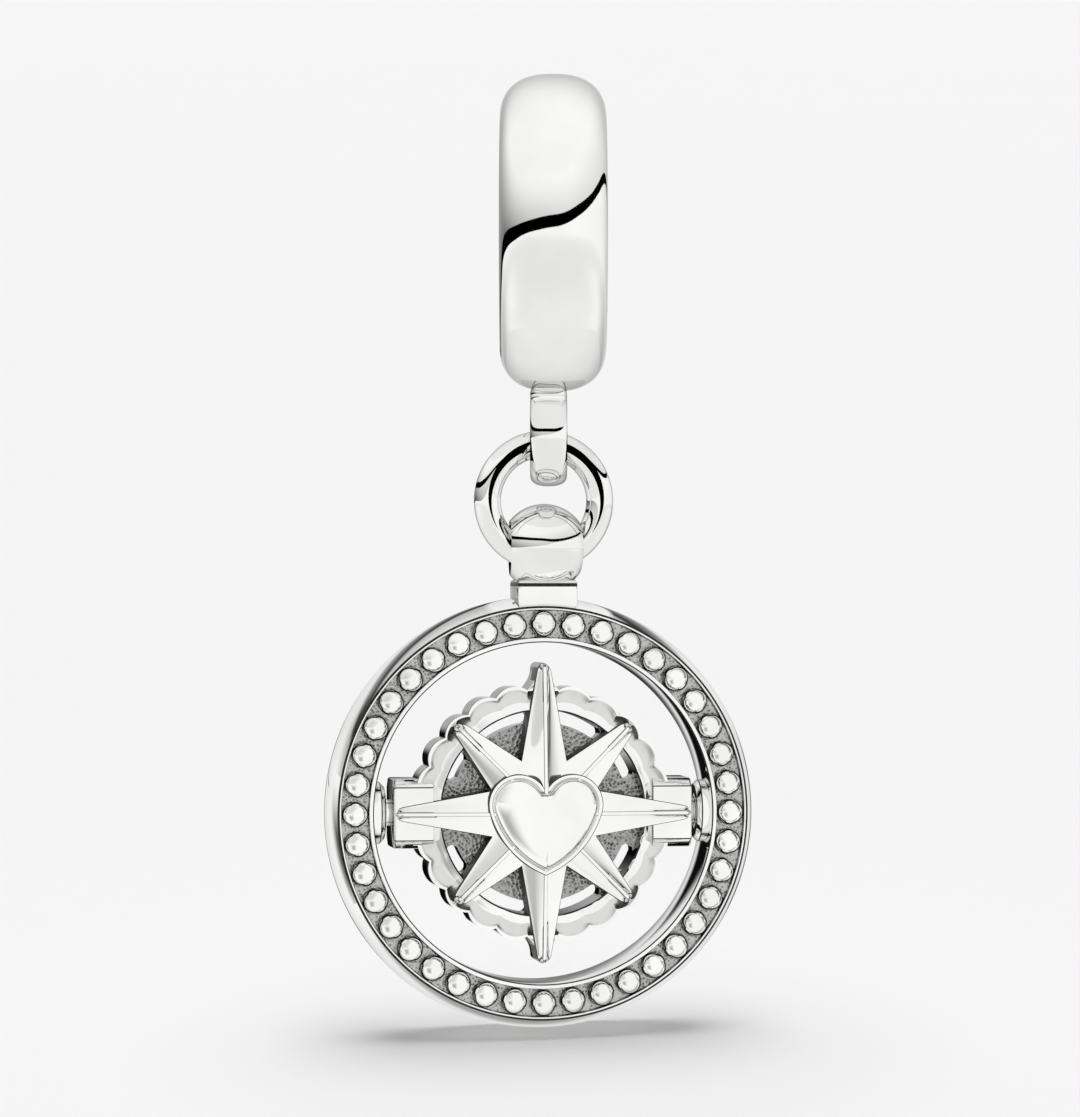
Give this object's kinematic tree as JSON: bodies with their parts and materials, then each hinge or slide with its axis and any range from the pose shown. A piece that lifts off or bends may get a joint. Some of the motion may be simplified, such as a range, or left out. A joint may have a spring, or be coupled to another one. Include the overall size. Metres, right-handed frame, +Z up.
{
  "type": "compass pendant",
  "caption": "Silver bracelet pendant: a carrier bead with an eye, a jump ring, and a granulated round frame in which a compass rose with a heart turns.",
  "frame": {"origin": "the middle of the carrier bead's hole, where the bracelet holds the pendant", "axes": "+X along the bead's hole, the granulated front faces -Y, +Z up; the pendant hangs down from the bead"},
  "size_m": [0.0126, 0.0094, 0.0282],
  "materials": {
    "polished_silver": "mirror-polished sterling silver",
    "granulated_silver": "polished sterling silver granules and rims, oxidised satin channel floor",
    "relief_silver": "polished cast relief with oxidised grained recesses"
  },
  "bodies": {
    "bead": {"carrier_bead": "polished_silver"},
    "ring": {"jump_ring": "polished_silver"},
    "drop": {"frame": "granulated_silver"},
    "rose": {"compass_rose": "relief_silver", "pivot_pin_left": "polished_silver", "pivot_pin_right": "polished_silver"}
  },
  "joints": [
    {"name": "ring_swing", "type": "hinge", "parent": "bead", "child": "ring", "pos_m": [0, 0, -0.00625], "axis": [0.989, 0.1478, 0], "range_deg": [-60, 60]},
    {"name": "drop_swing", "type": "hinge", "parent": "ring", "child": "drop", "pos_m": [0, 0, -0.00961], "axis": [0.989, 0.1478, 0], "range_deg": [-45, 45]},
    {"name": "compass_spin", "type": "hinge", "parent": "drop", "child": "rose", "pos_m": [0, 0, -0.01712], "axis": [0.989, 0.1478, 0], "continuous": true}
  ]
}
